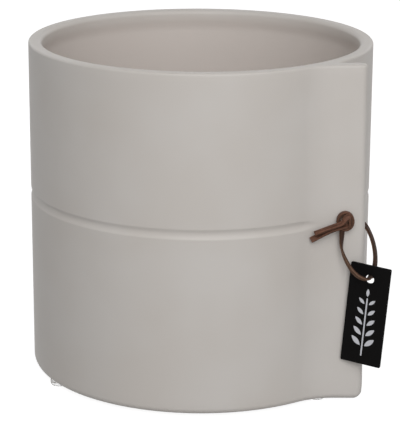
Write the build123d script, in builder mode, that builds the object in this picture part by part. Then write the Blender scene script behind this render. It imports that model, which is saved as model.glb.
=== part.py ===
"""Ceramic cachepot with a flap in its wall, three foot pads, a leather lace and a hang tag.

Units are millimetres. +Z is up, the front looks along -Y, and the origin is on the pot's axis where the
pads touch the table.
"""

import math
import os

from build123d import *

# Pot: outside
outer_radius = 85.0
pot_height = 165.4
foot_edge_round = 3.3
rim_outer_chamfer = 0.9

# Pot: inside
wall_thickness = 5.4
lip_width = 6.6
lip_height = 5.2
lip_underside_height = 1.5
rim_inner_chamfer = 1.3
floor_thickness = 7.0
floor_corner_chamfer = 6.0

# Pot: underside
foot_ring_width = 19.0
foot_recess_depth = 1.6
foot_recess_chamfer = 1.0

# Flap: its flat front stands in from the wall's front; its width is what stands clear of the wall
flap_inset = 20.7
flap_thickness = 7.2
flap_width_at_foot = 16.3
flap_width_at_rim = 14.4
flap_blend_radius = 32.0
flap_corner_round = 5.0

# Hole in the flap, in from the free edge at the foot
flap_hole_diameter = 4.6
flap_hole_inset = 10.7
flap_hole_height = 91.1
flap_hole_edge_chamfer = 0.5

# Groove round the wall, from behind the flap's root to just past the start of its blend, in degrees
groove_height = 89.5
groove_depth = 0.65
groove_width = 4.2
groove_floor_width = 2.0
groove_back_gap = 9.2
groove_run_past_blend = 2.4

# Foot pads, their middles in from the outside of the wall
pad_diameter = 8.8
pad_sole_diameter = 7.2
pad_height = 2.2
pad_inset = 7.8
pad_angles = (-150.4, -44.1, 82.8)

# Lace: flat leather all the way
lace_width = 2.8
lace_thickness = 1.5
lace_clearance = 0.45

# Knot on the front of the flap; the cut ends run from start to tip, each given as
# millimetres right of, out from and above the knot's middle
knot_ring_radius = 4.05
knot_core_length = 2.2
upper_end_start = (1.6, 1.2, 0.4)
upper_end_tip = (-14.9, 4.2, -5.4)
lower_end_start = (0.6, 1.0, -1.6)
lower_end_tip = (-16.1, 3.6, -9.0)

# Hang tag: its hole hangs right of, in front of and below the mouth of the flap's hole
tag_width = 20.0
tag_height = 50.0
tag_thickness = 1.4
tag_hole_diameter = 4.4
tag_hole_drop = 6.8
tag_corner_round = 0.6
tag_hang = (12.0, -6.6, -27.1)
tag_yaw = -24.4
tag_lean = 4.8

# Route of the loop: the front strand from the knot's middle, the back strand from the flap hole's rear
front_strand = ((-1.7, -0.4, -3.9), (-2.2, -0.6, -10.1), (-0.6, -1.9, -16.9), (4.0, -5.6, -23.7))
tag_pass_length = 7.2
back_strand = ((15.3, -9.1, -19.7), (14.7, -4.4, -13.3), (12.0, 2.5, -5.7), (0, 2.2, 0))
bend_share = 0.45
hole_bend_radius = 3.4

# Overrun of a cut past the face it opens
cut_overrun = 2.0
full_turn = 360.0

# Heights in the part's own frame
base_z = pad_height
rim_z = base_z + pot_height
groove_z = base_z + groove_height
flap_hole_z = base_z + flap_hole_height
floor_z = base_z + floor_thickness

# Radii of the cavity and of the underside
inner_radius = outer_radius - wall_thickness
lip_radius = outer_radius - lip_width
lip_bottom_z = rim_z - lip_height
foot_recess_radius = outer_radius - foot_ring_width
pad_circle_radius = outer_radius - pad_inset

# Plan of the flap: a concave blend touches the wall and the flap's front face
flap_front_distance = outer_radius - flap_inset
flap_back_distance = flap_front_distance - flap_thickness
flap_root_x = math.sqrt(outer_radius**2 - flap_back_distance**2)
flap_root_angle = math.degrees(math.atan2(-flap_back_distance, flap_root_x))
flap_reach_at_foot = flap_root_x + flap_width_at_foot
flap_reach_at_rim = flap_root_x + flap_width_at_rim
flap_hole_x = flap_reach_at_foot - flap_hole_inset
blend_distance = flap_front_distance + flap_blend_radius
blend_x = math.sqrt((outer_radius + flap_blend_radius) ** 2 - blend_distance**2)
blend_angle = math.degrees(math.atan2(-blend_distance, blend_x))

# Groove: its flanks slope on past the wall to the outside of the cut
groove_floor_radius = outer_radius - groove_depth
groove_cut_radius = outer_radius + cut_overrun
groove_flank_slope = (groove_width - groove_floor_width) / (2 * groove_depth)
groove_cut_depth = groove_cut_radius - groove_floor_radius
groove_cut_width = groove_floor_width + 2 * groove_flank_slope * groove_cut_depth
groove_back_end_angle = flap_root_angle + groove_back_gap
groove_front_end_angle = full_turn + blend_angle + groove_run_past_blend

os.makedirs("parts", exist_ok=True)


def at_angle(radius, angle, z=0):
    """Point at a radius and an angle round the pot's axis."""
    turn = math.radians(angle)
    return (radius * math.cos(turn), radius * math.sin(turn), z)


def radial_plane(angle):
    """Upright plane through the pot's axis at the groove's height: its x runs outwards, its y up."""
    outwards, sideways = at_angle(1, angle), at_angle(1, angle - full_turn / 4)
    return Plane(origin=(0, 0, groove_z), x_dir=outwards, z_dir=sideways)


# Pot: its outline in plan, from the flap's root round the back to the blend, raised to the rim
with BuildPart() as pot_body:
    with BuildSketch(Plane.XY.offset(base_z)):
        with BuildLine():
            wall = CenterArc(
                (0, 0), outer_radius, flap_root_angle, full_turn + blend_angle - flap_root_angle
            )
            blend = CenterArc(
                (blend_x, -blend_distance),
                flap_blend_radius,
                full_turn / 2 + blend_angle,
                -full_turn / 4 - blend_angle,
            )
            Polyline(
                blend @ 1,
                (flap_reach_at_foot, -flap_front_distance),
                (flap_reach_at_foot, -flap_back_distance),
                wall @ 0,
            )
        make_face()
    extrude(amount=pot_height)

    # The flap's free edge leans in a little towards the rim
    with BuildSketch(Plane.XZ.offset(flap_back_distance - cut_overrun)):
        with BuildLine():
            Polyline(
                (flap_reach_at_foot, base_z),
                (flap_reach_at_rim, rim_z),
                (flap_reach_at_foot + cut_overrun, rim_z),
                (flap_reach_at_foot + cut_overrun, base_z),
                close=True,
            )
        make_face()
    extrude(amount=flap_thickness + 2 * cut_overrun, mode=Mode.SUBTRACT)
    flap_foot_corner = pot_body.edges().filter_by(Axis.Y).group_by(Axis.Z)[0].sort_by(Axis.X)[-1]
    fillet(flap_foot_corner, flap_corner_round)
    fillet(pot_body.faces().sort_by(Axis.Z)[0].edges(), foot_edge_round)
    chamfer(pot_body.faces().sort_by(Axis.Z)[-1].edges(), rim_outer_chamfer)

    # Cavity, narrower at the thick lip and sloping into its floor
    with BuildSketch(Plane.XZ) as cavity:
        with BuildLine():
            Polyline(
                (0, floor_z),
                (inner_radius, floor_z),
                (inner_radius, lip_bottom_z - lip_underside_height),
                (lip_radius, lip_bottom_z),
                (lip_radius, rim_z + cut_overrun),
                (0, rim_z + cut_overrun),
                close=True,
            )
        make_face()
        chamfer(cavity.vertices().group_by(Axis.X)[-1].sort_by(Axis.Y)[0], floor_corner_chamfer)
    revolve(axis=Axis.Z, mode=Mode.SUBTRACT)
    chamfer(pot_body.faces().sort_by(Axis.Z)[-1].inner_wires()[0].edges(), rim_inner_chamfer)

    # A shallow groove with sloping flanks runs round the wall from the back of the flap to its blend
    with BuildSketch(radial_plane(groove_back_end_angle)):
        with BuildLine():
            Polyline(
                (groove_floor_radius, -groove_floor_width / 2),
                (groove_floor_radius, groove_floor_width / 2),
                (groove_cut_radius, groove_cut_width / 2),
                (groove_cut_radius, -groove_cut_width / 2),
                close=True,
            )
        make_face()
    revolve(
        axis=Axis.Z, revolution_arc=groove_front_end_angle - groove_back_end_angle, mode=Mode.SUBTRACT
    )

    # Its ends are round: half the same section turned about its own middle line
    for end_angle in (groove_back_end_angle, groove_front_end_angle):
        with BuildSketch(radial_plane(end_angle)):
            with BuildLine():
                Polyline(
                    (groove_floor_radius, 0),
                    (groove_floor_radius, groove_floor_width / 2),
                    (groove_cut_radius, groove_cut_width / 2),
                    (groove_cut_radius, 0),
                    close=True,
                )
            make_face()
        revolve(axis=Axis((0, 0, groove_z), at_angle(1, end_angle)), mode=Mode.SUBTRACT)

    # The underside stands on a ring round a shallow recess
    with BuildSketch(Plane.XY.offset(base_z)):
        Circle(foot_recess_radius)
    extrude(amount=foot_recess_depth, mode=Mode.SUBTRACT)
    recess_edges = pot_body.faces().sort_by(Axis.Z)[0].inner_wires()[0].edges()
    chamfer(recess_edges, foot_recess_chamfer)

    # Hole through the flap for the lace
    with BuildSketch(Plane.XZ.offset(flap_back_distance - cut_overrun)):
        with Locations((flap_hole_x, flap_hole_z)):
            Circle(flap_hole_diameter / 2)
    extrude(amount=flap_thickness + 2 * cut_overrun, mode=Mode.SUBTRACT)
    hole_edges = pot_body.edges().filter_by(GeomType.CIRCLE).filter_by(
        lambda edge: edge.radius == flap_hole_diameter / 2
    )
    chamfer(hole_edges, flap_hole_edge_chamfer)
pot_body.part.label = "pot_body"
export_step(pot_body.part, "parts/pot_body.step")

# Foot pads: clear tapered bumpers stuck to the foot ring by hand, so not quite evenly
for number, angle in enumerate(pad_angles, start=1):
    with BuildPart() as foot_pad:
        with BuildSketch():
            with Locations(at_angle(pad_circle_radius, angle)):
                Circle(pad_sole_diameter / 2)
        with BuildSketch(Plane.XY.offset(pad_height)):
            with Locations(at_angle(pad_circle_radius, angle)):
                Circle(pad_diameter / 2)
        loft()
    foot_pad.part.label = f"foot_pad_{number}"
    export_step(foot_pad.part, f"parts/foot_pad_{number}.step")

# Knot: lace wound on edge into a ring, a core that fills its back, and two flat cut ends over the ring
knot_back_y = -flap_front_distance - lace_clearance
knot_middle = Vector(flap_hole_x, knot_back_y - lace_width / 2, flap_hole_z)
cut_ends = (
    (Vector(upper_end_start), Vector(upper_end_tip)),
    (Vector(lower_end_start), Vector(lower_end_tip)),
)


def from_knot(offset):
    """Point right of, out from and above the middle of the knot."""
    return knot_middle + Vector(offset.X, -offset.Y, offset.Z)


with BuildPart() as lace_knot:
    with BuildSketch(Plane(knot_middle)):
        with Locations((knot_ring_radius, 0)):
            Rectangle(lace_thickness, lace_width)
    revolve(axis=Axis(knot_middle, (0, 1, 0)))
    with BuildSketch(Plane.XZ.offset(-knot_back_y)):
        with Locations((knot_middle.X, knot_middle.Z)):
            Circle(knot_ring_radius)
    extrude(amount=knot_core_length)
    for start, tip in cut_ends:
        along = from_knot(tip) - from_knot(start)
        across = (-along.Z, 0, along.X)
        with BuildSketch(Plane(origin=from_knot(start), x_dir=across, z_dir=along)):
            Rectangle(lace_width, lace_thickness)
        extrude(amount=along.length)
lace_knot.part.label = "lace_knot"
export_step(lace_knot.part, "parts/lace_knot.step")

# Hang tag: a thin plate that the lace passes square to its face
turn = math.radians(tag_yaw)
lean = math.radians(tag_lean)
tag_front = Vector(math.sin(turn), -math.cos(turn), 0)
tag_across = Vector(
    math.cos(lean) * math.cos(turn), math.cos(lean) * math.sin(turn), -math.sin(lean)
)
tag_hole = Vector(flap_hole_x, -flap_front_distance, flap_hole_z) + Vector(tag_hang)
with BuildPart() as hang_tag:
    with BuildSketch(Plane(origin=tag_hole, x_dir=tag_across, z_dir=tag_front)):
        with Locations((0, tag_hole_drop - tag_height / 2)):
            RectangleRounded(tag_width, tag_height, tag_corner_round)
        Circle(tag_hole_diameter / 2, mode=Mode.SUBTRACT)
    extrude(amount=tag_thickness / 2, both=True)
hang_tag.part.label = "hang_tag"
export_step(hang_tag.part, "parts/hang_tag.step")

# Loop: out of the knot, down the flap, through the tag, round the free edge and back through the hole
tag_pass = tag_front * (tag_pass_length / 2)
rear_mouth = Vector(flap_hole_x, -flap_back_distance, flap_hole_z)
route = [knot_middle + Vector(offset) for offset in front_strand]
route += [tag_hole + tag_pass, tag_hole - tag_pass]
route += [rear_mouth + Vector(offset) for offset in back_strand]
route += [Vector(flap_hole_x, knot_back_y, flap_hole_z)]

runs = [after - before for before, after in zip(route, route[1:])]
bend_radii = []
for run, next_run in zip(runs, runs[1:]):
    half_turn = math.radians(run.get_angle(next_run)) / 2
    bend_radii.append(bend_share * min(run.length, next_run.length) / math.tan(half_turn))
bend_radii[-1] = min(bend_radii[-1], hole_bend_radius)

with BuildPart() as lace_loop:
    with BuildLine() as lace_path:
        FilletPolyline(*route, radius=bend_radii)
    with BuildSketch(Plane(origin=route[0], x_dir=(1, 0, 0), z_dir=runs[0])):
        Rectangle(lace_width, lace_thickness)
    sweep()
lace_loop.part.label = "lace_loop"
export_step(lace_loop.part, "parts/lace_loop.step")

path_length = lace_path.wires()[0].length
lace_volume = path_length * lace_width * lace_thickness
volume_share = lace_loop.part.volume / lace_volume
print("bend radii of the loop:", ", ".join(f"{radius:.1f}" for radius in bend_radii))
print(f"loop is {path_length:.1f} long; its volume is {volume_share:.3f} of section x length")
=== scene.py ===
# %% [markdown]
# # A ceramic cachepot with a leather lace and a hang tag
# The CAD model gives the sizes, the bodies and the joints. This script dresses it: every piece is placed
# in the CAD model's own frame, in metres, with +Z up and the front towards -Y.

# %% Load the frame
import math

import bmesh
import bpy
import numpy as np
from mathutils import Matrix, Vector


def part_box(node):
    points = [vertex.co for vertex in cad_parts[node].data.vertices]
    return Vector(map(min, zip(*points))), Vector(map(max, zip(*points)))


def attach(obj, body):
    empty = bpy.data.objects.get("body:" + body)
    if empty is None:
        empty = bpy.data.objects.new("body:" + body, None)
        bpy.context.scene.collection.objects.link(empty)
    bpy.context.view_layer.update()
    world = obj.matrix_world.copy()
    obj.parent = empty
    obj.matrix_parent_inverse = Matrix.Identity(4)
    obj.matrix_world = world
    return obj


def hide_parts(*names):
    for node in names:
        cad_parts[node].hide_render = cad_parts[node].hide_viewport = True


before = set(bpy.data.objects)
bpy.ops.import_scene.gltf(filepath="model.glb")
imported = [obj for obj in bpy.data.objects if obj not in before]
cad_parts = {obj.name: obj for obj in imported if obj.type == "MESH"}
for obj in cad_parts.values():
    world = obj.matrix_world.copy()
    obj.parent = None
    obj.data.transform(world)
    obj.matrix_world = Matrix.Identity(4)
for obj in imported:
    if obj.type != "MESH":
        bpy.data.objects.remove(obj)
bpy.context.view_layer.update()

MM = 0.001

# %% [markdown]
# ## The camera
# The photograph was taken from a little above, from far away and with a long lens, so the pot's sides look
# nearly parallel. The camera is found from the rim's and the foot's curves, and it comes first, because
# every other piece is judged through it.

# %% Place the camera
SENSOR_HEIGHT_MM = 36.0
LENS_MM = 158.64
CAMERA_PLACE = (0.0, -0.904, 0.3416)
PITCH_DOWN_DEG, YAW_DEG, ROLL_DEG = 16.203, 0.0022, 0.300


def camera_turn(pitch, yaw, roll):
    """The camera's three axes as columns, from angles in degrees: it looks along a line that is turned by
    yaw and tipped down by pitch, and then rolls about that line."""
    pitch, yaw, roll = (math.radians(angle) for angle in (pitch, yaw, roll))
    ahead = Vector((math.sin(yaw) * math.cos(pitch), math.cos(yaw) * math.cos(pitch), -math.sin(pitch)))
    right = ahead.cross(Vector((0, 0, 1))).normalized()
    up = right.cross(ahead)
    rolled_right = math.cos(roll) * right + math.sin(roll) * up
    rolled_up = math.cos(roll) * up - math.sin(roll) * right
    return Matrix((rolled_right, rolled_up, -ahead)).transposed().to_4x4()


lens = bpy.data.cameras.new("camera")
lens.sensor_fit = "VERTICAL"
lens.sensor_height = SENSOR_HEIGHT_MM
lens.lens = LENS_MM
camera = bpy.data.objects.new("camera", lens)
camera.matrix_world = Matrix.Translation(CAMERA_PLACE) @ camera_turn(PITCH_DOWN_DEG, YAW_DEG, ROLL_DEG)
bpy.context.scene.collection.objects.link(camera)
bpy.context.scene.camera = camera
print("camera at", CAMERA_PLACE, "with a", LENS_MM, "mm lens")

# %% [markdown]
# ## Small tools
# A material in Blender is a graph of nodes. One helper that adds a node, sets it up and joins it keeps
# each material readable. Colours are written as on a paint chart, in sRGB, but the renderer works in
# linear light, so one function turns one into the other.

# %% Colours and nodes
SRGB_KNEE, SRGB_SLOPE, SRGB_OFFSET, SRGB_GAMMA = 0.04045, 12.92, 0.055, 2.4


def linear(hex_colour):
    """A colour like '#c9c5be' in linear light: a channel is divided by 12.92 up to the sRGB curve's knee,
    and above it the curve's offset is taken out and the channel is raised to the power of 2.4."""
    channels = np.array([int(hex_colour[i : i + 2], 16) for i in (1, 3, 5)]) / 255
    bright = ((channels + SRGB_OFFSET) / (1 + SRGB_OFFSET)) ** SRGB_GAMMA
    return (*np.where(channels <= SRGB_KNEE, channels / SRGB_SLOPE, bright), 1.0)


def add_node(tree, kind, values=None, links=None, **settings):
    """Adds a node: settings are its own, values fill its inputs, and links join outputs to them."""
    node = tree.nodes.new(kind)
    for name, value in settings.items():
        setattr(node, name, value)
    for name, value in (values or {}).items():
        node.inputs[name].default_value = value
    for name, output in (links or {}).items():
        tree.links.new(output, node.inputs[name])
    return node


def new_material(name):
    """An empty material with its output node."""
    material = bpy.data.materials.new(name)
    material.use_nodes = True
    tree = material.node_tree
    tree.nodes.clear()
    return material, tree, tree.nodes.new("ShaderNodeOutputMaterial")


print("middle grey, #808080, is", round(float(linear("#808080")[0]), 3), "in linear light")

# %% [markdown]
# ## Matte glaze
# The pot is slip-cast stoneware under a satin-matte glaze: light warm grey, smooth to the hand, with a
# broad soft sheen and no sharp reflection. A matte glaze is full of tiny crystals, which is why its
# roughness is high although its IOR is that of glass. Two things keep it from looking like plastic: the
# colour drifts a little where the glaze lies thicker, and a very fine orange peel breaks up the sheen.
# Inside the pot the glaze colour is painted a shade paler. This is painted light, which keeps the pot's
# hollow nearly as light as the outside although less light reaches it. Its radius and height tell the
# inside apart.

# %% Glaze material
GLAZE_LOOK = {"IOR": 1.50, "Roughness": 0.52}
# The inside's paler colour is painted light.
GLAZE_OUTSIDE, GLAZE_INSIDE_PAINTED_LIGHT = ("#cfc9c3", "#d3cec9"), "#dbd3cd"
GLAZE_DRIFT_MM, DRIFT_SPAN = 45.0, (0.35, 0.65)
GLAZE_PEEL_MM, GLAZE_PEEL_HEIGHT_MM = 1.6, 0.012
# Over these radii and heights the inside's painted light gives way to the outside's colour.
PAINTED_LIGHT_RADII_MM, PAINTED_LIGHT_HEIGHTS_MM = (79.9, 80.9), (160.0, 166.0)
# The Mix node's sockets for numbers and for colours share their names, so these are picked by place.
MIX_FIRST, MIX_SECOND, MIX_COLOUR = 6, 7, 2


def matte_glaze():
    """Satin-matte glaze on slip-cast stoneware: its grey drifts over some 45 mm and its skin is faintly
    pitted. Inside the pot it is painted paler as painted light, where a mask of radius and a mask of
    height multiply to one."""
    material, tree, output = new_material("matte_glaze")
    place = add_node(tree, "ShaderNodeTexCoord").outputs["Object"]
    drift = add_node(tree, "ShaderNodeTexNoise", {"Scale": 1 / (GLAZE_DRIFT_MM * MM)}, {"Vector": place})
    outside = add_node(tree, "ShaderNodeValToRGB", links={"Fac": drift.outputs["Fac"]})
    for element, position, tone in zip(outside.color_ramp.elements, DRIFT_SPAN, GLAZE_OUTSIDE):
        element.position = position
        element.color = linear(tone)
    apart = add_node(tree, "ShaderNodeSeparateXYZ", links={"Vector": place}).outputs
    flat = add_node(tree, "ShaderNodeCombineXYZ", links={"X": apart["X"], "Y": apart["Y"]})
    off_axis = {0: flat.outputs["Vector"]}
    radius = add_node(tree, "ShaderNodeVectorMath", operation="LENGTH", links=off_axis).outputs["Value"]
    painted_light_masks = []
    for value, (low, high) in ((radius, PAINTED_LIGHT_RADII_MM), (apart["Z"], PAINTED_LIGHT_HEIGHTS_MM)):
        fall = {"From Min": low * MM, "From Max": high * MM, "To Min": 1.0, "To Max": 0.0}
        painted_light_masks.append(add_node(tree, "ShaderNodeMapRange", fall, {"Value": value}).outputs["Result"])
    # Painted light: the inside of the pot is made paler where less light reaches it.
    painted_light_mask = add_node(tree, "ShaderNodeMath", operation="MULTIPLY", links=dict(enumerate(painted_light_masks)))
    painted_light_tone = {MIX_SECOND: linear(GLAZE_INSIDE_PAINTED_LIGHT)}
    mixed = {"Factor": painted_light_mask.outputs["Value"], MIX_FIRST: outside.outputs["Color"]}
    colour = add_node(tree, "ShaderNodeMix", painted_light_tone, mixed, data_type="RGBA")
    peel = add_node(
        tree, "ShaderNodeTexNoise", {"Scale": 1 / (GLAZE_PEEL_MM * MM), "Detail": 3.0}, {"Vector": place}
    )
    bump = add_node(
        tree, "ShaderNodeBump", {"Distance": GLAZE_PEEL_HEIGHT_MM * MM}, {"Height": peel.outputs["Fac"]}
    )
    surface = {"Base Color": colour.outputs[MIX_COLOUR], "Normal": bump.outputs["Normal"]}
    shader = add_node(tree, "ShaderNodeBsdfPrincipled", GLAZE_LOOK, surface)
    tree.links.new(shader.outputs["BSDF"], output.inputs["Surface"])
    return material


GLAZE = matte_glaze()
print("made material", GLAZE.name)

# %% [markdown]
# ## The pot's plan
# Seen from above, the wall is a circle that ends in a flap, like the overlap of a rolled sheet. The
# outline is a chain of arcs and lines that run into each other without a corner. Each stretch is worked
# out as an array of points with the direction that points out of the wall, because every round edge later
# moves the outline in along it. The stretches beside the hole stand by themselves, so that a patch can be
# left out there.

# %% Outline of the pot seen from above
WALL_RADIUS, FLAP_FRONT, FLAP_THICKNESS, FLAP_WIDTH = 85.0, 64.3, 7.2, 16.3
BLEND_RADIUS, ROOT_ROUND, FREE_EDGE_ROUND = 32.0, 1.5, 3.3
HOLE_X, HOLE_Z, HOLE_RADIUS, HOLE_EDGE_ROUND = 68.565, 93.3, 2.3, 0.7
PATCH_REACH, ROOT_SPLIT_DEG = 3.6, -132
FLAP_BACK = FLAP_FRONT - FLAP_THICKNESS
FLAP_ROOT_X = math.sqrt(WALL_RADIUS**2 - FLAP_BACK**2)
FLAP_END_X = FLAP_ROOT_X + FLAP_WIDTH
BLEND_MIDDLE_Y = -(FLAP_FRONT + BLEND_RADIUS)
BLEND_MIDDLE_X = math.sqrt((WALL_RADIUS + BLEND_RADIUS) ** 2 - BLEND_MIDDLE_Y**2)
BLEND_START = math.degrees(math.atan2(BLEND_MIDDLE_Y, BLEND_MIDDLE_X))
ROOT_MIDDLE_Y = -FLAP_BACK + ROOT_ROUND
ROOT_MIDDLE_X = math.sqrt((WALL_RADIUS + ROOT_ROUND) ** 2 - ROOT_MIDDLE_Y**2)
ROOT_START = math.degrees(math.atan2(ROOT_MIDDLE_Y, ROOT_MIDDLE_X))


def arc(middle, radius, start, end, count, out=1.0):
    """Points on a circle, middle plus radius times (cos, sin) of the angle, between two angles in degrees
    and without the last one, and the way out of the pot there."""
    angle = np.radians(np.linspace(start, end, count, endpoint=False))
    ray = np.stack([np.cos(angle), np.sin(angle)], axis=1)
    return np.array(middle) + radius * ray, out * ray


def line(start, end, way_out, count):
    """Points on a straight stretch, without the last, all with the same way out of the pot."""
    share = np.linspace(0, 1, count, endpoint=False)[:, None]
    return np.array(start) * (1 - share) + np.array(end) * share, np.tile(way_out, (count, 1))


blend_split = math.degrees(math.acos((HOLE_X - PATCH_REACH - BLEND_MIDDLE_X) / BLEND_RADIUS))
blend_middle, root_middle = (BLEND_MIDDLE_X, BLEND_MIDDLE_Y), (ROOT_MIDDLE_X, ROOT_MIDDLE_Y)
edge_x, patch_right = FLAP_END_X - FREE_EDGE_ROUND, HOLE_X + PATCH_REACH
front_edge, back_edge = (edge_x, -FLAP_FRONT + FREE_EDGE_ROUND), (edge_x, -FLAP_BACK - FREE_EDGE_ROUND)
STRETCHES = {
    "wall": arc((0, 0), WALL_RADIUS, ROOT_START, 360 + BLEND_START, 300),
    "blend": arc(blend_middle, BLEND_RADIUS, 180 + BLEND_START, blend_split, 16, -1.0),
    "hole_front_blend": arc(blend_middle, BLEND_RADIUS, blend_split, 90, 2, -1.0),
    "hole_front": line((BLEND_MIDDLE_X, -FLAP_FRONT), (patch_right, -FLAP_FRONT), (0, -1), 8),
    "front": line((patch_right, -FLAP_FRONT), (edge_x, -FLAP_FRONT), (0, -1), 3),
    "front_edge": arc(front_edge, FREE_EDGE_ROUND, -90, 0, 8),
    "free_edge": line((FLAP_END_X, front_edge[1]), (FLAP_END_X, back_edge[1]), (1, 0), 2),
    "back_edge": arc(back_edge, FREE_EDGE_ROUND, 0, 90, 8),
    "back": line((edge_x, -FLAP_BACK), (patch_right, -FLAP_BACK), (0, 1), 3),
    "hole_back": line((patch_right, -FLAP_BACK), (ROOT_MIDDLE_X, -FLAP_BACK), (0, 1), 7),
    "hole_back_root": arc(root_middle, ROOT_ROUND, -90, ROOT_SPLIT_DEG, 3, -1.0),
    "root": arc(root_middle, ROOT_ROUND, ROOT_SPLIT_DEG, ROOT_START - 180, 8, -1.0),
}
plan = np.concatenate([points for points, _ in STRETCHES.values()])
way_out = np.concatenate([ways for _, ways in STRETCHES.values()])
counts = [len(points) for points, _ in STRETCHES.values()]
FIRST = dict(zip(STRETCHES, np.cumsum([0] + counts)))
print("the outline has", len(plan), "points")

# %% [markdown]
# ## Levels up the wall
# The skin is a surface of two parameters: how far round the outline, and how far up the wall. Each level
# up the wall says how high it is and how far the outline is drawn in there, which gives the rounded foot
# and the rounded rim. The levels lie closest where the groove and the hole need them.

# %% Levels of the outer skin
FOOT_Z, RIM_Z = 2.2, 167.6
FOOT_ROUND, RIM_ROUND = 3.3, 1.2
FINE_FROM_Z, FINE_TO_Z = 88.0, 95.1

foot_turn = np.radians(np.linspace(0, 90, 9, endpoint=False))
rim_turn = np.radians(np.linspace(0, 90, 7))
level_groups = [
    FOOT_Z + FOOT_ROUND * (1 - np.cos(foot_turn)),
    np.linspace(FOOT_Z + FOOT_ROUND, FINE_FROM_Z, 22, endpoint=False),
    np.linspace(FINE_FROM_Z, HOLE_Z - PATCH_REACH, 7, endpoint=False),
    np.linspace(HOLE_Z - PATCH_REACH, FINE_TO_Z, 22, endpoint=False),
    np.linspace(FINE_TO_Z, HOLE_Z + PATCH_REACH, 4, endpoint=False),
    np.linspace(HOLE_Z + PATCH_REACH, RIM_Z - RIM_ROUND, 18, endpoint=False),
    RIM_Z - RIM_ROUND + RIM_ROUND * np.sin(rim_turn),
]
heights = np.concatenate(level_groups)
drawn_in = np.zeros(len(heights))
drawn_in[: len(foot_turn)] = FOOT_ROUND * (1 - np.sin(foot_turn))
drawn_in[-len(rim_turn) :] = RIM_ROUND * (1 - np.cos(rim_turn))
print("the outer skin has", len(heights), "levels")

# %% [markdown]
# ## The outer skin
# The flap's free edge leans in towards the rim and has a larger round at its foot, so the flap's columns
# are squeezed along the flap. Then comes the groove: a cutter as thick as a pencil goes round the wall,
# and where it bites into the skin, the skin steps back. A smooth maximum gives the bite soft shoulders,
# and it fades away at both ends.

# %% Skin and groove
FLAP_NARROWER_AT_RIM, FLAP_CORNER_ROUND = 1.9, 5.0
GROOVE_Z, GROOVE_DEPTH, GROOVE_CUTTER, GROOVE_SOFTNESS = 91.7, 0.65, 4.2, 0.33
GROOVE_BACK_GAP_DEG, GROOVE_PAST_BLEND_DEG, GROOVE_FADE_DEG = 9.2, 8.0, 9.0
GROOVE_START_DEG = math.degrees(math.atan2(-FLAP_BACK, FLAP_ROOT_X)) + GROOVE_BACK_GAP_DEG
GROOVE_END_DEG = BLEND_START + GROOVE_PAST_BLEND_DEG


def outer_skin():
    """Points of the skin, one row per level: the outline moved in by what the level is drawn in, and then
    towards the blend by what the flap is shorter there times the share along the flap."""
    skin = plan[None] - drawn_in[:, None, None] * way_out[None]
    lift = (heights - FOOT_Z) / (RIM_Z - FOOT_Z)
    corner = FLAP_CORNER_ROUND - np.sqrt(
        FLAP_CORNER_ROUND**2 - np.clip(FLAP_CORNER_ROUND - (heights - FOOT_Z), 0, None) ** 2
    )
    shorter = FLAP_NARROWER_AT_RIM * lift + np.where(corner > 0, corner - drawn_in, 0)
    along = np.clip((plan[:, 0] - BLEND_MIDDLE_X) / (FLAP_END_X - BLEND_MIDDLE_X), 0, 1)
    on_flap = np.arange(len(plan)) >= FIRST["hole_front"]
    skin[..., 0] -= shorter[:, None] * (along * on_flap)[None]
    height = np.broadcast_to(heights[:, None], skin.shape[:2])
    return np.concatenate([skin, height[..., None]], axis=2)


def carve_groove(points):
    """Moves points in towards the axis by a round cutter's bite: sqrt(cutter^2 - height^2) - (cutter -
    depth), kept above zero by a smooth maximum. The depth fades away at both ends of the groove."""
    radius = np.hypot(points[..., 0], points[..., 1])
    turn = np.degrees(np.arctan2(points[..., 1], points[..., 0]))
    run = (GROOVE_END_DEG - GROOVE_START_DEG) % 360
    past_start = (turn - GROOVE_START_DEG) % 360
    fade = np.clip(np.minimum(past_start, run - past_start) / GROOVE_FADE_DEG, 0, 1)
    fade = fade**2 * (3 - 2 * fade)
    depth = GROOVE_DEPTH * fade - GROOVE_SOFTNESS * (1 - fade)
    height = points[..., 2] - GROOVE_Z
    bite = np.sqrt(np.clip(GROOVE_CUTTER**2 - height**2, 0, None)) - (GROOVE_CUTTER - depth)
    soft_bite = np.clip(bite + GROOVE_SOFTNESS, 0, None) ** 2 / (4 * GROOVE_SOFTNESS)
    bite = np.where(np.abs(bite) < GROOVE_SOFTNESS, soft_bite, np.maximum(bite, 0))
    points[..., :2] *= (1 - bite / radius)[..., None]
    return points


skin = outer_skin()
groove_columns = slice(0, FIRST["hole_front"])
skin[:, groove_columns] = carve_groove(skin[:, groove_columns])
print("the outer skin has", skin.shape[1], "points on a level")

# %% [markdown]
# ## The inside and the underside
# Both are turned shapes: a profile carried round the pot's axis. A profile is written as a few corners,
# and one function rounds each corner with an arc that touches both of its sides, as a modeller's tool
# would.

# %% Turned profiles
LIP_RADIUS, INNER_RADIUS, LIP_BOTTOM_Z, LIP_SLOPE = 78.4, 79.6, 162.8, 4.8
FLOOR_Z, FLOOR_CORNER_ROUND, LIP_INNER_ROUND, LIP_SOFT = 9.2, 9.0, 2.2, 14.0
RECESS_RADIUS, RECESS_DEPTH, RECESS_ROUND = 66.0, 1.6, 0.7
TURNED_COLUMNS = 240


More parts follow.
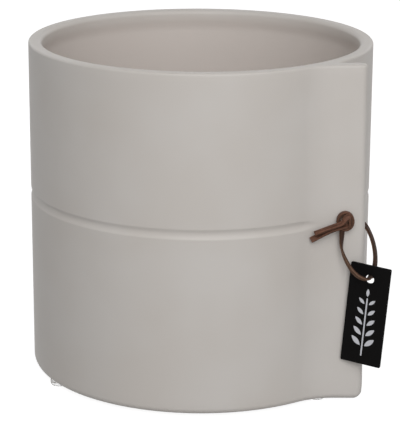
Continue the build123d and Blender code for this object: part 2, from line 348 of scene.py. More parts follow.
def rounded_profile(corners, rounds, steps=8):
    """The corners' line with an arc at each inner corner. Its middle lies radius / sin(half the angle)
    along the bisector, and it touches both sides radius / tan(half the angle) from the corner."""
    corners = np.array(corners, float)
    line_points = [corners[:1]]
    for before, corner, after, radius in zip(corners, corners[1:], corners[2:], rounds):
        to_before, to_after = before - corner, after - corner
        to_before, to_after = to_before / np.linalg.norm(to_before), to_after / np.linalg.norm(to_after)
        half = math.acos(float(to_before @ to_after)) / 2
        bisector = (to_before + to_after) / np.linalg.norm(to_before + to_after)
        middle = corner + bisector * radius / math.sin(half)
        start = corner + to_before * radius / math.tan(half) - middle
        end = corner + to_after * radius / math.tan(half) - middle
        sweep = math.pi - 2 * half
        share = np.linspace(0, 1, steps + 1)[:, None]
        arc_points = (np.sin((1 - share) * sweep) * start + np.sin(share * sweep) * end) / math.sin(sweep)
        line_points.append(middle + arc_points)
    line_points.append(corners[-1:])
    return np.concatenate(line_points)


def turned(profile, columns):
    """A profile carried round the Z axis, a row for each point: (radius * cos, radius * sin, height)."""
    angle = np.linspace(0, 2 * np.pi, columns, endpoint=False)
    radius, height = profile[:, :1], np.tile(profile[:, 1:], (1, columns))
    return np.stack([radius * np.cos(angle), radius * np.sin(angle), height], axis=2)


inside_corners = [
    (LIP_RADIUS + LIP_INNER_ROUND, RIM_Z),
    (LIP_RADIUS, RIM_Z),
    (LIP_RADIUS, LIP_BOTTOM_Z),
    (INNER_RADIUS, LIP_BOTTOM_Z - LIP_SLOPE),
    (INNER_RADIUS, FLOOR_Z),
    (0, FLOOR_Z),
]
inside_rounds = [LIP_INNER_ROUND, LIP_SOFT, LIP_SOFT, FLOOR_CORNER_ROUND]
underside_corners = [
    (RECESS_RADIUS + RECESS_ROUND, FOOT_Z),
    (RECESS_RADIUS, FOOT_Z),
    (RECESS_RADIUS, FOOT_Z + RECESS_DEPTH),
    (0, FOOT_Z + RECESS_DEPTH),
]
inside = turned(rounded_profile(inside_corners, inside_rounds), TURNED_COLUMNS)
underside = turned(rounded_profile(underside_corners, [RECESS_ROUND, RECESS_ROUND]), TURNED_COLUMNS)
print("rings inside:", len(inside), "and underneath:", len(underside))

# %% [markdown]
# ## The hole in the flap
# A grid of rows and columns has no room for a round hole, so a rectangle of its cells is left out on each
# side of the flap. Rings lead from that rectangle's border to the hole's mouth, over its round edge and
# through the flap.

# %% Rings round the hole
PATCH_LOW = int(np.argmin(np.abs(heights - (HOLE_Z - PATCH_REACH))))
PATCH_HIGH = int(np.argmin(np.abs(heights - (HOLE_Z + PATCH_REACH))))
PATCHES = {
    "front": (FIRST["hole_front_blend"], FIRST["front"]),
    "back": (FIRST["hole_back"], FIRST["root"]),
}


def patch_border(left, right):
    """The rectangle's border in one round: along its low row, up, back along its high row, down."""
    step = 1 if right > left else -1
    sides = [
        skin[PATCH_LOW, left:right:step],
        skin[PATCH_LOW:PATCH_HIGH, right],
        skin[PATCH_HIGH, right:left:-step],
        skin[PATCH_HIGH:PATCH_LOW:-1, left],
    ]
    return np.concatenate(sides)


def hole_rings(border, face_y, inward):
    """Rings from the border to the mouth in four steps, then a quarter turn over the mouth's round edge.
    Each border point keeps its own angle round the hole's middle on the way in."""
    angle = np.arctan2(border[:, 2] - HOLE_Z, border[:, 0] - HOLE_X)

    def ring(radius, depth):
        across, up = radius * np.cos(angle), radius * np.sin(angle)
        through = np.full(len(angle), face_y + inward * depth)
        return np.stack([HOLE_X + across, through, HOLE_Z + up], axis=1)

    share = np.linspace(0, 1, 5)[:, None, None]
    flat = border * (1 - share) + ring(HOLE_RADIUS + HOLE_EDGE_ROUND, 0) * share
    edge = [
        ring(HOLE_RADIUS + HOLE_EDGE_ROUND * (1 - math.sin(turn)), HOLE_EDGE_ROUND * (1 - math.cos(turn)))
        for turn in np.radians(np.linspace(0, 90, 7)[1:])
    ]
    return np.concatenate([flat, np.stack(edge)])


front_left, front_right = PATCHES["front"]
back_right, back_left = PATCHES["back"]
front_rings = hole_rings(patch_border(front_left, front_right), -FLAP_FRONT, 1)
back_rings = hole_rings(patch_border(back_left, back_right), -FLAP_BACK, -1)
hole = np.concatenate([front_rings, back_rings[::-1]])
print("the hole has", len(hole), "rings")

# %% [markdown]
# ## From points to a piece
# Blender's mesh is a list of points and a list of faces that name them. These helpers number the cells of
# a grid, close and smooth a mesh, and make it a piece, which rides on a body of the CAD model, stands for
# a CAD node and takes a material. Points that two grids share are merged, and open flat rings are filled
# before the normals are turned outwards.

# %% Faces, closed meshes and pieces
MERGE_DISTANCE = 1e-6
SHARP_DEG = 40.0


def grid_faces(rows, columns, keep=None, first=0):
    """Four corner numbers per cell of a grid that closes sideways, with points numbered row by row."""
    row, column = np.meshgrid(np.arange(rows - 1), np.arange(columns), indexing="ij")
    right = (column + 1) % columns
    here, above = row * columns, (row + 1) * columns
    faces = np.stack([here + column, here + right, above + right, above + column], axis=2)
    faces = faces.reshape(-1, 4) if keep is None else faces[keep]
    return faces + first


def mesh_of(name, points, faces, uv=None):
    """A mesh from points in millimetres, with UV maps given point by point."""
    mesh = bpy.data.meshes.new(name)
    mesh.from_pydata((np.asarray(points, float) * MM).tolist(), [], [list(face) for face in faces])
    corners = np.zeros(len(mesh.loops), int)
    mesh.loops.foreach_get("vertex_index", corners)
    for layer_name, values in (uv or {}).items():
        layer = mesh.uv_layers.new(name=layer_name)
        layer.data.foreach_set("uv", np.asarray(values, float)[corners].ravel())
    return mesh


def finish_mesh(mesh, sharp_deg):
    """Merges doubled points, fills open flat rings, turns the faces outwards and shades them smooth."""
    bm = bmesh.new()
    bm.from_mesh(mesh)
    bmesh.ops.remove_doubles(bm, verts=bm.verts, dist=MERGE_DISTANCE)
    open_edges = [edge for edge in bm.edges if edge.is_boundary]
    for level in sorted({round(edge.verts[0].co.z, 6) for edge in open_edges}):
        loop = [edge for edge in open_edges if abs(edge.verts[0].co.z - level) < MERGE_DISTANCE]
        bmesh.ops.triangle_fill(bm, edges=loop, use_beauty=True, use_dissolve=False)
    bmesh.ops.recalc_face_normals(bm, faces=bm.faces)
    still_open = sum(not edge.is_manifold for edge in bm.edges)
    bm.to_mesh(mesh)
    bm.free()
    mesh.shade_smooth()
    mesh.set_sharp_from_angle(angle=math.radians(sharp_deg))
    if still_open:
        print("WARNING", mesh.name, "has", still_open, "open edges")


def place_piece(mesh, body, replaced, material, sharp_deg=SHARP_DEG):
    """Finishes a mesh and makes it a piece of the same name, which rides on a body."""
    piece = bpy.data.objects.new(mesh.name, mesh)
    bpy.context.scene.collection.objects.link(piece)
    finish_mesh(mesh, sharp_deg)
    mesh.materials.append(material)
    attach(piece, body)
    if replaced:
        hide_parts(*replaced)
    print(piece.name, "has", len(mesh.polygons), "faces")
    return piece


print("edges over", SHARP_DEG, "degrees stay sharp")

# %% [markdown]
# ## Joining the pot
# The skin, the hole, the inside and the underside become one mesh. The hole's rings share the points of
# the patches' borders, and the two flat rings left open, at the rim and the foot, are filled.

# %% Build the pot
levels, columns = skin.shape[:2]
keep = np.ones((levels - 1, columns), bool)
for left, right in PATCHES.values():
    keep[PATCH_LOW:PATCH_HIGH, left:right] = False
pot_faces, pot_points = [], []
for grid, kept in ((skin, keep), (hole, None), (inside, None), (underside, None)):
    first = sum(len(points) for points in pot_points)
    pot_faces.append(grid_faces(*grid.shape[:2], keep=kept, first=first))
    pot_points.append(grid.reshape(-1, 3))
pot_mesh = mesh_of("glazed_pot", np.concatenate(pot_points), np.concatenate(pot_faces))
place_piece(pot_mesh, "pot", ["pot_body"], GLAZE)

# %% [markdown]
# ## Clear foot pads
# The pads are moulded polyurethane: clear, a little soft, with a domed sole. Light passes through them, so
# they are drawn as a solid of their own IOR. They are not as clear as glass: a share of the light is
# scattered inside, which makes them greyish against white, and their roughness keeps them from sparkling.
# They sit a little further out than the CAD model's, where the photograph shows them, and reach into the
# glaze.

# %% Foot pads
PAD_LOOK = {"Base Color": linear("#f4f4f4"), "Roughness": 0.25, "IOR": 1.42, "Transmission Weight": 0.82}
PAD_SOLE_ROUND, PAD_TOP_ROUND, PAD_COLUMNS = 1.2, 0.1, 48
PAD_SHIFT_OUT, PAD_SQUEEZE = 2.8, 0.5


def clear_polyurethane():
    """Clear moulded polyurethane: it lets light through and blurs it slightly."""
    material, tree, output = new_material("clear_polyurethane")
    shader = add_node(tree, "ShaderNodeBsdfPrincipled", PAD_LOOK)
    tree.links.new(shader.outputs["BSDF"], output.inputs["Surface"])
    return material


CLEAR = clear_polyurethane()
for node_name in ("foot_pad_1", "foot_pad_2", "foot_pad_3"):
    low, high = (np.array(corner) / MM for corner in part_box(node_name))
    centre, pad_radius, pad_top = (low + high)[:2] / 2, (high[0] - low[0]) / 2, high[2] + PAD_SQUEEZE
    centre *= 1 + PAD_SHIFT_OUT / np.linalg.norm(centre)
    profile = [(0, low[2]), (pad_radius, low[2]), (pad_radius, pad_top), (0, pad_top)]
    dome = turned(rounded_profile(profile, [PAD_SOLE_ROUND, PAD_TOP_ROUND]), PAD_COLUMNS)
    dome[..., :2] += centre
    pad_mesh = mesh_of("clear_" + node_name, dome.reshape(-1, 3), grid_faces(*dome.shape[:2]))
    place_piece(pad_mesh, "pot", [node_name], CLEAR)

# %% [markdown]
# ## Leather
# The lace is flat cowhide, split and dyed through. Its hair side is darker and a little waxed, its flesh
# side paler and fibrous. The knot's ring, its inner turn and the cut ends take a second leather, whose
# hair side is the lighter one. The piece's own UV maps carry the pattern along it: in "side", V is 1 on
# the hair side, 0 on the flesh side and one half on the cut edges, and in "skin", U and V are centimetres
# along the lace and round its section.

# %% Leather material
LEATHER_LOOK = {"IOR": 1.47, "Specular IOR Level": 0.15}
HAIR_ROUGHNESS, FLESH_ROUGHNESS = 0.55, 0.85
MM_PER_CM = 10
GRAIN_PER_CM, FIBRE_PER_CM, FIBRE_RUNS_PER_CM = 9.0, 16.0, 1.5
GRAIN = {"Scale": GRAIN_PER_CM / (MM_PER_CM * MM), "Detail": 4.0, "Roughness": 0.6}
GRAIN_HEIGHT_MM = 0.09
GRAIN_SHADES = {"From Min": 0.3, "From Max": 0.75, "To Min": 0.72, "To Max": 1.3}
FIBRE_SHADES = {"From Min": 0.35, "From Max": 0.65, "To Min": 0.6, "To Max": 1.45}
FLESH_TO_HAIR = (0.3, 0.7)


def cowhide(name, hair_colour, flesh_colour):
    """Dyed cowhide lace: a smoother hair side with fine grain, a matte flesh side with fibres along it."""
    material, tree, output = new_material(name)
    side = add_node(tree, "ShaderNodeUVMap", uv_map="side").outputs["UV"]
    side = add_node(tree, "ShaderNodeSeparateXYZ", links={"Vector": side}).outputs["Y"]
    skin_uv = add_node(tree, "ShaderNodeUVMap", uv_map="skin").outputs["UV"]
    place = add_node(tree, "ShaderNodeTexCoord").outputs["Object"]
    grain = add_node(tree, "ShaderNodeTexNoise", GRAIN, {"Vector": place}).outputs["Fac"]
    stretched = add_node(
        tree, "ShaderNodeMapping", {"Scale": (FIBRE_RUNS_PER_CM, FIBRE_PER_CM, 1.0)}, {"Vector": skin_uv}
    ).outputs["Vector"]
    fibres = add_node(
        tree, "ShaderNodeTexNoise", {"Scale": 1.0, "Detail": 3.0}, {"Vector": stretched}
    ).outputs["Fac"]
    worn = add_node(tree, "ShaderNodeMapRange", GRAIN_SHADES, {"Value": grain}).outputs["Result"]
    streaks = add_node(tree, "ShaderNodeMapRange", FIBRE_SHADES, {"Value": fibres}).outputs["Result"]
    product = {0: worn, 1: streaks}
    shade = add_node(tree, "ShaderNodeMath", operation="MULTIPLY", links=product).outputs["Value"]
    colour = add_node(tree, "ShaderNodeValToRGB", links={"Fac": side})
    tones = (flesh_colour, hair_colour)
    for element, position, tone in zip(colour.color_ramp.elements, FLESH_TO_HAIR, tones):
        element.position = position
        element.color = linear(tone)
    toned = add_node(
        tree, "ShaderNodeVectorMath", operation="SCALE", links={0: colour.outputs["Color"], "Scale": shade}
    ).outputs["Vector"]
    roughness = add_node(
        tree, "ShaderNodeMapRange", {"To Min": FLESH_ROUGHNESS, "To Max": HAIR_ROUGHNESS}, {"Value": side}
    ).outputs["Result"]
    bump = add_node(
        tree, "ShaderNodeBump", {"Distance": GRAIN_HEIGHT_MM * MM}, {"Height": grain}
    ).outputs["Normal"]
    surface = {"Base Color": toned, "Roughness": roughness, "Normal": bump}
    shader = add_node(tree, "ShaderNodeBsdfPrincipled", LEATHER_LOOK, surface)
    tree.links.new(shader.outputs["BSDF"], output.inputs["Surface"])
    return material


LACE_LEATHER = cowhide("lace_leather", "#3c281e", "#6a5243")
TAIL_LEATHER = cowhide("lace_leather_ends", "#634436", "#5c4336")
print("made materials", LACE_LEATHER.name, "and", TAIL_LEATHER.name)

# %% [markdown]
# ## A lace along a smooth line
# A free lace has no straight runs and no fixed bends, so its middle line is a NURBS curve with the route's
# points as its control points. Blender works the curve out, and the lace's flat section is carried along
# it. Which way the flat hair side faces is given at a few places along the lace, and between them it turns
# steadily: that is how a real lace shows its edge where it twists and its flesh side where it has turned
# over.

# %% Flat lace section carried along a line
LACE_WIDTH, LACE_THICKNESS, LACE_EDGE_ROUND = 2.8, 1.2, 0.3
LACE_STEP_MM = 0.4
LACE_SHARP_DEG = 50.0


def add_spline(curve, kind, points):
    """Adds a spline of a kind to a curve, with a weight of one on each of its points."""
    spline = curve.splines.new(kind)
    spline.points.add(len(points) - 1)
    spline.points.foreach_set("co", np.append(points, np.ones((len(points), 1)), axis=1).ravel())
    return spline


def mesh_of_curve(curve):
    """The mesh that Blender works out from a curve, which is then removed."""
    holder = bpy.data.objects.new(curve.name, curve)
    mesh = bpy.data.meshes.new_from_object(holder)
    bpy.data.objects.remove(holder)
    bpy.data.curves.remove(curve)
    return mesh


def smooth_line(control_points, step):
    """Points in millimetres, evenly spaced along the quadratic NURBS curve of these control points."""
    curve = bpy.data.curves.new("line", "CURVE")
    curve.dimensions = "3D"
    spline = add_spline(curve, "NURBS", control_points)
    spline.order_u = 3
    spline.use_endpoint_u = True
    spline.resolution_u = 24
    mesh = mesh_of_curve(curve)
    points = np.array([vertex.co for vertex in mesh.vertices])
    bpy.data.meshes.remove(mesh)
    gone = np.concatenate([[0], np.cumsum(np.linalg.norm(np.diff(points, axis=0), axis=1))])
    even = np.linspace(0, gone[-1], max(3, round(gone[-1] / step) + 1))
    return np.stack([np.interp(even, gone, points[:, axis]) for axis in range(3)], axis=1)


def lace_section():
    """The section's points, a rectangle with round corners, across the width and through the thickness,
    and for each point 1 on the hair side to 0 on the flesh side."""
    half = np.array([LACE_WIDTH, LACE_THICKNESS]) / 2 - LACE_EDGE_ROUND
    corners = []
    for quarter, signs in enumerate([(1, 1), (-1, 1), (-1, -1), (1, -1)]):
        turn = np.radians(90 * quarter + np.linspace(0, 90, 4))
        ray = np.stack([np.cos(turn), np.sin(turn)], axis=1)
        corners.append(np.array(signs) * half + LACE_EDGE_ROUND * ray)
    outline = np.concatenate(corners)
    side = np.clip(outline[:, 1] / LACE_THICKNESS + 0.5, 0, 1)
    return outline, side


def normalised(vectors):
    """Every vector at a length of one."""
    return vectors / np.linalg.norm(vectors, axis=1, keepdims=True)


def carry_section(points, facing_shares, facings):
    """Points, faces and UVs of a flat lace: line point + across * section's width + facing * thickness.
    The section is square to the line, and its hair side is turned towards the facing direction."""
    ahead = normalised(np.gradient(points, axis=0))
    share = np.linspace(0, 1, len(points))
    facings = np.array(facings, float)
    facing = np.stack([np.interp(share, facing_shares, facings[:, axis]) for axis in range(3)], axis=1)
    facing = normalised(facing - ahead * np.sum(facing * ahead, axis=1, keepdims=True))
    across = np.cross(ahead, facing)
    outline, side = lace_section()
    rings = points[:, None] + across[:, None] * outline[:, :1] + facing[:, None] * outline[:, 1:]
    rows, columns = rings.shape[:2]
    faces = grid_faces(rows, columns).tolist()
    faces += [list(range(columns)), list(range((rows - 1) * columns, rows * columns))]
    gone = np.cumsum(np.linalg.norm(np.diff(points, axis=0, prepend=points[:1]), axis=1))
    gone = np.repeat(gone, columns)
    girth = np.cumsum(np.linalg.norm(np.diff(outline, axis=0, prepend=outline[:1]), axis=1))
    uv = {
        "side": np.stack([gone, np.tile(side, rows)], axis=1),
        "skin": np.stack([gone, np.tile(girth, rows)], axis=1) / MM_PER_CM,
    }
    return rings.reshape(-1, 3), faces, uv


def add_lace(name, carried, replaced, material):
    """Adds a carried section as a piece of the lace."""
    mesh = mesh_of(name, *carried)
    return place_piece(mesh, "lace", [replaced], material, LACE_SHARP_DEG)


print("the lace's section has", len(lace_section()[0]), "points")

# %% [markdown]
# ## The loop
# The lace leaves the knot, hangs down the flap, passes through the tag from the front, comes up behind it,
# goes round the flap's free edge and returns through the hole to the knot. The points follow the CAD
# model's route, with the small bends of the photograph, and the facings make it narrow where the
# photograph shows it on its edge.

# %% Lace loop
KNOT_MIDDLE = (0.068565, -0.06615, 0.0933)
LOOP_ROUTE = [
    (0.0671, -0.0669, 0.0894), (0.0668, -0.06715, 0.0843), (0.0669, -0.0678, 0.0795),
    (0.0697, -0.0706, 0.0735), (0.0735, -0.0736, 0.0689), (0.0782, -0.0752, 0.0671),
    (0.0804, -0.0702, 0.0662), (0.0828, -0.066, 0.0678), (0.0836, -0.0649, 0.076),
    (0.082, -0.06, 0.0835), (0.0786, -0.0548, 0.0892), (0.0686, -0.0536, 0.0933),
    (0.0686, -0.06475, 0.0933),
]
LOOP_FACING_SHARES = [0.0, 0.06, 0.12, 0.18, 0.26, 0.33, 0.40, 0.46, 0.55, 0.78, 0.88, 1.0]
LOOP_FACINGS = [
    (0.6, -0.8, 0), (0.85, -0.55, 0), (1, -0.05, 0), (1, 0.2, 0.05),
    (0.92, 0.42, 0.2), (0.35, 0.6, 0.7), (-0.45, 0.2, 0.85), (0.3, -0.4, 0.6),
    (0.85, -0.65, -0.1), (0.85, -0.75, -0.1), (0.2, 0, 1), (0, 0, 1),
]
loop_line = smooth_line(np.array(LOOP_ROUTE) / MM, LACE_STEP_MM)
loop_section = carry_section(loop_line, LOOP_FACING_SHARES, LOOP_FACINGS)
lace = add_lace("leather_lace", loop_section, "lace_loop", LACE_LEATHER)

# %% [markdown]
# ## The knot
# The two ends are tied in one overhand knot. What shows is a ring of lace standing on its edge, a second
# turn just inside it, and the two ends: the upper one comes up on the right, folds over the top and lies
# across the ring towards the lower left, and the lower one lies beside it. Two darker turns close the
# hollow behind them. Each is a lace of the same section along its own line, written as millimetres right
# of, out from and above the middle.

# %% Knot and cut ends
RING_NARROWER, RING_STEPS = 0.88, 64
# A turn's radius and its place out from the middle, its first and last angle in degrees, and its leather.
TURNS = {
    "lace_ring": (4.15, 0.0, 235, -125, TAIL_LEATHER),
    "lace_inner_turn": (2.6, -0.3, 100, -130, TAIL_LEATHER),
    "lace_back_turn": (3.3, -0.45, 0, -359, LACE_LEATHER),
    "lace_core_turn": (1.35, -0.45, 60, -290, LACE_LEATHER),
}
UPPER_END = [(0.3, -0.3, -3.0), (2.2, 0.7, -2.7), (2.3, 1.5, 0.6), (1.5, 2.4, 3.3)]
UPPER_END += [(-0.3, 2.8, 2.0), (-1.5, 3.0, -0.4), (-5.0, 3.6, -1.3), (-14.7, 4.5, -4.9)]
UPPER_FACINGS = [(0.6, -0.3, -0.8), (1.0, -0.2, -0.1), (0.7, -0.5, 0.6), (-0.3, -0.5, 0.8)]
UPPER_FACINGS += 4 * [(-0.2, -0.35, 1.0)]
LOWER_END = [(0.6, -0.6, 0.4), (1.0, 0.6, -2.2), (-2.2, 2.2, -2.4), (-9.2, 2.7, -4.6), (-16.3, 3.4, -8.5)]
LOWER_FACINGS = [(0.0, -0.6, 0.8), (0.0, -0.3, 1.0), (-0.2, -0.6, 0.8), (-0.2, -1.0, 0.6)]


def from_knot(offsets):
    """Points right of, out from and above the knot's middle, as points of the part in millimetres."""
    right, out, up = np.array(offsets, float).T
    return np.array(KNOT_MIDDLE) / MM + np.stack([right, -out, up], axis=1)


def turn_of_lace(radius, out, start_deg, end_deg):
    """A lace on its edge round the knot's middle, its hair side away from it: (narrower times radius times
    cos, out, radius times sin), because a turn is a little narrower than high."""
    angle = np.radians(np.linspace(start_deg, end_deg, RING_STEPS))
    across, up = RING_NARROWER * radius * np.cos(angle), radius * np.sin(angle)
    away = np.stack([np.cos(angle), np.zeros(RING_STEPS), RING_NARROWER * np.sin(angle)], axis=1)
    offsets = np.stack([across, np.full(RING_STEPS, out), up], axis=1)
    return carry_section(from_knot(offsets), np.linspace(0, 1, RING_STEPS), away)


def end_of_lace(offsets, facings):
    """A cut end along its smooth line, with its hair side's directions spread evenly along it."""
    end_line = smooth_line(from_knot(offsets), LACE_STEP_MM)
    return carry_section(end_line, np.linspace(0, 1, len(facings)), facings)


knot_pieces = [
    add_lace(name, turn_of_lace(*turn), "lace_knot", leather) for name, (*turn, leather) in TURNS.items()
]
knot_pieces += [
    add_lace("lace_upper_end", end_of_lace(UPPER_END, UPPER_FACINGS), "lace_knot", TAIL_LEATHER),
    add_lace("lace_lower_end", end_of_lace(LOWER_END, LOWER_FACINGS), "lace_knot", TAIL_LEATHER),
]
print("the knot has", len(knot_pieces), "pieces")

# %% [markdown]
# ## Board and ink
# The tag is punched from black dyed board: pressed fibre, matte, with hardly any sheen. Its decoration is
# screen-printed in pale ink, which dries flat. The board's fibre is drawn as bump alone, because the dye
# goes through it evenly.

# %% Board and ink
BOARD_LOOK = {"Base Color": linear("#0a0909"), "Roughness": 0.8, "IOR": 1.5, "Specular IOR Level": 0.08}
INK_LOOK = {"Base Color": linear("#cfd0d6"), "Roughness": 0.7, "IOR": 1.5}
BOARD_FIBRE_MM, BOARD_FIBRE_HEIGHT_MM = 0.8, 0.02


def black_board():
    """Black dyed board: matte, with the faint mottle of pressed fibre."""
    material, tree, output = new_material("black_board")
    place = add_node(tree, "ShaderNodeTexCoord").outputs["Object"]
    fibre = add_node(
        tree, "ShaderNodeTexNoise", {"Scale": 1 / (BOARD_FIBRE_MM * MM), "Detail": 4.0}, {"Vector": place}
    )
    bump = add_node(
        tree, "ShaderNodeBump", {"Distance": BOARD_FIBRE_HEIGHT_MM * MM}, {"Height": fibre.outputs["Fac"]}
    )
    shader = add_node(tree, "ShaderNodeBsdfPrincipled", BOARD_LOOK, {"Normal": bump.outputs["Normal"]})
    tree.links.new(shader.outputs["BSDF"], output.inputs["Surface"])
    return material


def pale_ink():
    """Pale grey screen-printing ink, dry and flat."""
    material, tree, output = new_material("pale_ink")
    shader = add_node(tree, "ShaderNodeBsdfPrincipled", INK_LOOK)
    tree.links.new(shader.outputs["BSDF"], output.inputs["Surface"])
    return material


BOARD, INK = black_board(), pale_ink()
print("made materials", BOARD.name, "and", INK.name)

# %% [markdown]
# ## Flat pieces on the tag
# A flat curve is drawn in the tag's own plane. Blender fills it, leaves out a curve that lies inside
# another, gives it a thickness and rounds its edges a little. Then the mesh is moved to the tag's place in
# the part, where the tag is turned aside and leans a little.

# %% Flat pieces
TAG_HOLE_PLACE = (80.565, -70.9, 66.2)
TAG_YAW_DEG, TAG_LEAN_DEG = -24.4, 4.8


def tag_place():
    """The tag's own frame in the part: X across it, Y up it, Z out of its front, from the hole."""
    yaw, lean = math.radians(TAG_YAW_DEG), math.radians(TAG_LEAN_DEG)
    front = Vector((math.sin(yaw), -math.cos(yaw), 0))
    across = Vector((math.cos(lean) * math.cos(yaw), math.cos(lean) * math.sin(yaw), -math.sin(lean)))
    turned_axes = Matrix((across, front.cross(across), front)).transposed().to_4x4()
    return Matrix.Translation(Vector(TAG_HOLE_PLACE) * MM) @ turned_axes


def rounded_corners(left, low, right, high, radius, steps=6):
    """A rectangle's outline with round corners, as points in one round."""
    corners = [(right - radius, high - radius), (left + radius, high - radius)]
    corners += [(left + radius, low + radius), (right - radius, low + radius)]
    turn = np.radians(np.linspace(0, 90, steps))
    arcs = [
        np.array(corner) + radius * np.stack([np.cos(turn + quarter), np.sin(turn + quarter)], axis=1)
        for corner, quarter in zip(corners, np.pi / 2 * np.arange(4))
    ]
    return np.concatenate(arcs)


def flat_mesh(name, outlines, thickness, lift, edge_round=0.0):
    """Fills flat outlines given in millimetres on the tag, thickens them and moves them to its place."""
    curve = bpy.data.curves.new(name, "CURVE")
    curve.dimensions = "2D"
    curve.fill_mode = "BOTH"
    curve.extrude = (thickness / 2 - edge_round) * MM
    curve.bevel_depth = edge_round * MM
    curve.bevel_resolution = 2
    curve.offset = -edge_round * MM
    for outline in outlines:
        flat_points = np.append(outline * MM, np.zeros((len(outline), 1)), axis=1)
        add_spline(curve, "POLY", flat_points).use_cyclic_u = True
    mesh = mesh_of_curve(curve)
    mesh.name = name
    mesh.transform(tag_place() @ Matrix.Translation((0, 0, lift * MM)))
    return mesh


print("the tag is turned by", TAG_YAW_DEG, "degrees")

# %% [markdown]
# ## The hang tag
# The board is a rectangle with slightly round corners and a punched hole. The print is a plain leaf sprig:
# a stem, pairs of leaves, which shrink towards the tip, and one leaf at the tip. It is a layer of its own
# on the board's front, as thin as ink is.

# %% Tag and its printed sprig
TAG_WIDTH, TAG_HEIGHT, TAG_THICKNESS = 20.0, 50.0, 1.4
TAG_HOLE_RADIUS, TAG_HOLE_DROP, TAG_CORNER_ROUND, TAG_EDGE_ROUND = 2.2, 6.8, 0.6, 0.15
PRINT_THICKNESS = 0.03
STEM_FOOT, STEM_TIP, STEM_WIDTH = -39.0, -9.5, 0.7
# Just under half the stem's width, so that no two points of its round ends coincide.
STEM_END_ROUND = STEM_WIDTH / 2.01
LEAF_PAIRS, LEAF_LENGTH, LEAF_WIDTH, LEAF_TILT_DEG = 5, 6.6, 2.6, 48.0
LEAF_FULLNESS, LEAF_SHRINK, LEAF_OFF_STEM = 0.8, 0.45, 1.6
TIP_SPACE, TIP_LEAF = 0.6, 0.6


def leaf(foot, length, width, tilt_deg, steps=12):
    """A pointed leaf: half its width times sin(pi times share) to a power below one, on both sides of a
    line from its foot to its tip, tilted from the stem's direction."""
    share = np.linspace(0, 1, steps, endpoint=False)
    half_width = width / 2 * np.sin(np.pi * share) ** LEAF_FULLNESS
    right = np.stack([half_width, share * length], axis=1)
    left = np.stack([-half_width, share * length], axis=1)[:0:-1]
    edge = np.concatenate([right, [(0, length)], left])
    turn = math.radians(tilt_deg)
    turned_edge = edge @ np.array([[math.cos(turn), -math.sin(turn)], [math.sin(turn), math.cos(turn)]])
    return np.array(foot) + turned_edge


hole_turn = np.linspace(0, 2 * np.pi, 48, endpoint=False)
hole_outline = TAG_HOLE_RADIUS * np.stack([np.cos(hole_turn), np.sin(hole_turn)], axis=1)
tag_outline = rounded_corners(
    -TAG_WIDTH / 2, TAG_HOLE_DROP - TAG_HEIGHT, TAG_WIDTH / 2, TAG_HOLE_DROP, TAG_CORNER_ROUND
)
board_mesh = flat_mesh("hang_tag_board", [tag_outline, hole_outline], TAG_THICKNESS, 0.0, TAG_EDGE_ROUND)
board = place_piece(board_mesh, "tag", ["hang_tag"], BOARD)

sprig = [rounded_corners(-STEM_WIDTH / 2, STEM_FOOT, STEM_WIDTH / 2, STEM_TIP, STEM_END_ROUND)]
for pair in range(LEAF_PAIRS):
    share = (pair + 1) / (LEAF_PAIRS + TIP_SPACE)
    foot_y = STEM_FOOT + (STEM_TIP - STEM_FOOT) * share
    size = 1.0 - LEAF_SHRINK * share
    for side in (-1, 1):
        foot = (side * STEM_WIDTH * LEAF_OFF_STEM, foot_y)
        sprig.append(leaf(foot, LEAF_LENGTH * size, LEAF_WIDTH * size, side * LEAF_TILT_DEG))
sprig.append(leaf((0, STEM_TIP + STEM_WIDTH), LEAF_LENGTH * TIP_LEAF, LEAF_WIDTH * TIP_LEAF, 0.0))
print_lift = TAG_THICKNESS / 2 + PRINT_THICKNESS / 2
sprig_mesh = flat_mesh("printed_sprig", sprig, PRINT_THICKNESS, print_lift)
place_piece(sprig_mesh, "tag", None, INK)
print("the sprig has", LEAF_PAIRS, "pairs of leaves")

# %% [markdown]
# ## The lace as a cord
# The lace is a free, limp cord that leaves the knot and comes back to it. The knot's pieces and the tag
# are on it.

print("declared", lace.name, "with", len(knot_pieces) + 1, "pieces on it")

# %% [markdown]
# ## Floor and surroundings
# The photograph is a cut-out on white. Rays that come straight from the camera, or through the clear pads,
# or off a glossy surface, meet a white world and a nearly white floor, but the object is lit by dimmer
# ones, so its edges don't drown. The floor takes the last part of its white from the lamps, so the object
# still leaves a soft shadow on it.

# %% Floor and world
FLOOR_SIZE, FLOOR_COLOUR = 6.0, (0.35, 0.35, 0.35, 1)
FLOOR_SEEN, FLOOR_LIGHT = 0.90, 0.0
WORLD_SEEN, WORLD_LIGHT = 1.0, 0.27
WHITE = (1, 1, 1, 1)

half_floor = FLOOR_SIZE / 2
floor_corners = [(x * half_floor, y * half_floor, 0) for x, y in ((-1, -1), (1, -1), (1, 1), (-1, 1))]
floor_mesh = bpy.data.meshes.new("floor")
floor_mesh.from_pydata(floor_corners, [], [(0, 1, 2, 3)])
floor = bpy.data.objects.new("floor", floor_mesh)
bpy.context.scene.collection.objects.link(floor)


def strength_by_ray(tree, light, seen):
    """One strength for what is only lit by it, and another for a ray by which it is seen: from the camera,
    in a gloss or through something clear. The largest of the three answers, 0 or 1, picks between them."""
    path = add_node(tree, "ShaderNodeLightPath").outputs
    either = path["Is Camera Ray"]
    for kind in ("Is Glossy Ray", "Is Transmission Ray"):
        larger = add_node(tree, "ShaderNodeMath", operation="MAXIMUM", links={0: either, 1: path[kind]})
        either = larger.outputs["Value"]
    strength = add_node(tree, "ShaderNodeMapRange", {"To Min": light, "To Max": seen}, {"Value": either})
    return strength.outputs["Result"]


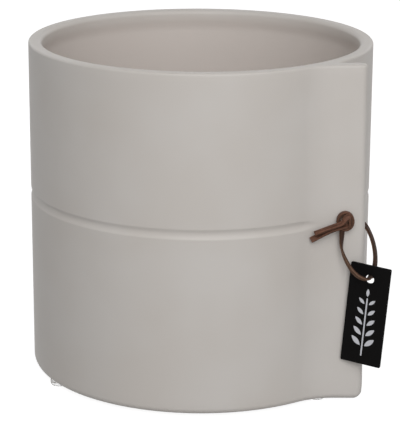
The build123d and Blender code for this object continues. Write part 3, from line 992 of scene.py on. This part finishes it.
def floor_paper():
    """White paper sweep: it glows by itself, as an over-lit background does, and takes a shadow."""
    material, tree, output = new_material("floor_paper")
    strength = strength_by_ray(tree, FLOOR_LIGHT, FLOOR_SEEN)
    glow = add_node(tree, "ShaderNodeEmission", {"Color": WHITE}, {"Strength": strength})
    paper = add_node(tree, "ShaderNodeBsdfDiffuse", {"Color": FLOOR_COLOUR})
    both = add_node(
        tree, "ShaderNodeAddShader", links={0: glow.outputs["Emission"], 1: paper.outputs["BSDF"]}
    )
    tree.links.new(both.outputs["Shader"], output.inputs["Surface"])
    return material


floor_mesh.materials.append(floor_paper())

world = bpy.data.worlds.new("studio")
bpy.context.scene.world = world
world.use_nodes = True
sky = world.node_tree
sky.nodes.clear()
sky_strength = strength_by_ray(sky, WORLD_LIGHT, WORLD_SEEN)
background = add_node(sky, "ShaderNodeBackground", {"Color": WHITE}, {"Strength": sky_strength})
add_node(sky, "ShaderNodeOutputWorld", links={"Surface": background.outputs["Background"]})
print("the floor is", FLOOR_SIZE, "m wide")

# %% [markdown]
# ## Lamps
# Square soft boxes stand in a circle round the object. The strongest is in front, above the camera, and a
# lower one to its right makes the wall change slowly from its darker left to its brighter right. Two weak
# ones at the back keep that side from going dark. Each row says how far round from the front a lamp stands
# and how high it is seen, both in degrees, and its power in watts.

# %% Lamps
LAMP_DISTANCE, LAMP_SIZE = 1.5, 0.9
LAMPS = {
    "key_front": (0, 38, 7.3),
    "low_front_right": (15, 20, 5.5),
    "back_left": (-150, 25, 1.75),
    "back_right": (150, 25, 1.75),
}
LAMP_TARGET = Vector((0, 0, 0.08))
for lamp_name, (round_deg, high_deg, lamp_power) in LAMPS.items():
    light = bpy.data.lights.new(lamp_name, "AREA")
    light.shape = "SQUARE"
    light.size = LAMP_SIZE
    light.energy = lamp_power
    lamp = bpy.data.objects.new(lamp_name, light)
    around, high = math.radians(round_deg), math.radians(high_deg)
    ray = Vector((math.sin(around) * math.cos(high), -math.cos(around) * math.cos(high), math.sin(high)))
    facing = (-ray).to_track_quat("-Z", "Y").to_matrix().to_4x4()
    lamp.matrix_world = Matrix.Translation(LAMP_TARGET + LAMP_DISTANCE * ray) @ facing
    bpy.context.scene.collection.objects.link(lamp)
    lamp.visible_camera = False
print("lamps:", sorted(LAMPS))

# %% [markdown]
# ## Finish
# The picture uses the plain sRGB view, so that a value of one is white.

# %% Finish
bpy.context.scene.view_settings.view_transform = "Standard"
bpy.context.view_layer.update()
